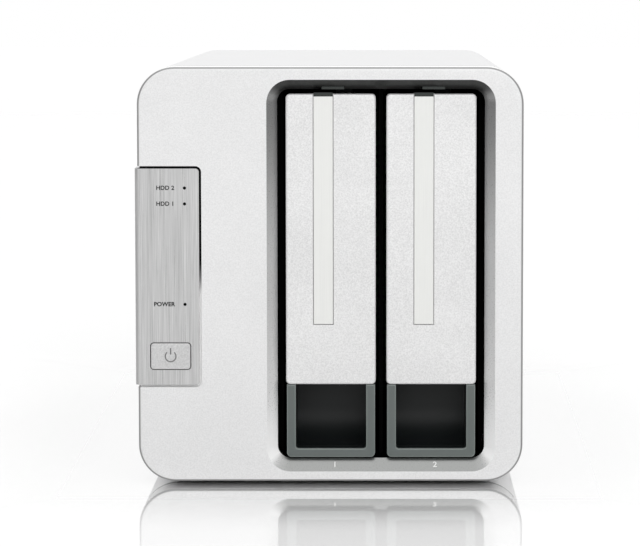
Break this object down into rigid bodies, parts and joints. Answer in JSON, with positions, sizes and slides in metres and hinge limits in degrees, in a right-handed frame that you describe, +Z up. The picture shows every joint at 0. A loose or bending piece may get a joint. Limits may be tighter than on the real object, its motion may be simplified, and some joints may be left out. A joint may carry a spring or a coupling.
{
  "type": "network attached storage",
  "caption": "Compact upright desktop storage box with pull-out drive trays behind swing levers, a brushed control strip with a push button and lamps, and a rear fan with sockets.",
  "frame": {"origin": "on the table under the middle of the box, at the bottom of the rubber feet", "axes": "+Z up, -Y towards the front face with the trays, +X to the right seen from the front"},
  "size_m": [0.1198, 0.2275, 0.1297],
  "materials": {
    "silver_paint": "fine-grain silver paint",
    "anodised_shell": "satin anodised",
    "brushed_strip": "brushed along its height",
    "inlay_strip": "fine brushed",
    "smoked_plastic": "smoked, satin gloss",
    "black_plastic": "matt moulded",
    "white_plastic": "matt moulded",
    "black_steel": "black powder coat",
    "zinc_steel": "zinc plated",
    "circuit_board": "green solder mask",
    "chip": "matt",
    "cast_disk": "die cast",
    "cover_steel": "fine brushed",
    "rubber": "matt",
    "light_pipe": "dark clear plastic",
    "lead_sleeve": "satin",
    "nickel": "nickel plated"
  },
  "bodies": {
    "chassis": {"backplane_board": "circuit_board", "bezel_screws": "zinc_steel", "board_screws": "zinc_steel", "board_standoffs": "nickel", "cage_divider": "black_steel", "cage_floor": "black_steel", "cage_left_wall": "black_steel", "cage_right_wall": "black_steel", "cage_screws": "zinc_steel", "cage_top": "black_steel", "capacitors": "anodised_shell", "control_strip": "brushed_strip", "ethernet_port": "nickel", "fan_frame": "black_plastic", "fan_lead": "lead_sleeve", "fan_screws": "black_steel", "front_bezel": "silver_paint", "front_board": "circuit_board", "front_board_screws": "zinc_steel", "front_lead": "lead_sleeve", "guide_rails": "black_plastic", "indicator_leds": "white_plastic", "lead_plugs": "white_plastic", "light_pipes": "light_pipe", "main_board": "circuit_board", "memory_chips": "chip", "outer_shell": "anodised_shell", "power_jack": "black_plastic", "power_switch": "black_plastic", "processor": "chip", "processor_heatsink": "anodised_shell", "rear_panel": "black_steel", "rear_panel_screws": "black_steel", "riser_slot": "black_plastic", "rubber_feet": "rubber", "sata_sockets": "black_plastic", "usb_ports": "nickel"},
    "power_button": {"power_button": "brushed_strip", "switch_plunger": "black_plastic"},
    "fan_rotor": {"fan_rotor": "black_plastic"},
    "tray_1": {"tray_1_frame": "black_plastic", "tray_1_grip_frame": "smoked_plastic", "tray_1_lever_pin": "zinc_steel", "tray_1_disk_base": "cast_disk", "tray_1_disk_cover": "cover_steel", "tray_1_disk_board": "circuit_board", "tray_1_disk_screws": "zinc_steel"},
    "lever_1": {"tray_1_lever": "silver_paint", "tray_1_inlay_strip": "inlay_strip", "tray_1_catch_tab": "smoked_plastic"},
    "tray_2": {"tray_2_frame": "black_plastic", "tray_2_grip_frame": "smoked_plastic", "tray_2_lever_pin": "zinc_steel", "tray_2_disk_base": "cast_disk", "tray_2_disk_cover": "cover_steel", "tray_2_disk_board": "circuit_board", "tray_2_disk_screws": "zinc_steel"},
    "lever_2": {"tray_2_lever": "silver_paint", "tray_2_inlay_strip": "inlay_strip", "tray_2_catch_tab": "smoked_plastic"}
  },
  "joints": [
    {"name": "power_button_press", "type": "slide", "parent": "chassis", "child": "power_button", "axis": [0, 1, 0], "range_m": [0, 0.001], "stiffness_N_per_m": 400, "springref_m": -0.002},
    {"name": "fan_spin", "type": "hinge", "parent": "chassis", "child": "fan_rotor", "pos_m": [0.0165, 0.0975, 0.06545], "axis": [0, 1, 0], "continuous": true},
    {"name": "tray_1_slide", "type": "slide", "parent": "chassis", "child": "tray_1", "axis": [0, -1, 0], "range_m": [0, 0.175]},
    {"name": "lever_1_swing", "type": "hinge", "parent": "tray_1", "child": "lever_1", "pos_m": [0.00007, -0.107, 0.1093], "axis": [-1, 0, 0], "range_deg": [0, 65]},
    {"name": "tray_2_slide", "type": "slide", "parent": "chassis", "child": "tray_2", "axis": [0, -1, 0], "range_m": [0, 0.175]},
    {"name": "lever_2_swing", "type": "hinge", "parent": "tray_2", "child": "lever_2", "pos_m": [0.03112, -0.107, 0.1093], "axis": [-1, 0, 0], "range_deg": [0, 65]}
  ]
}
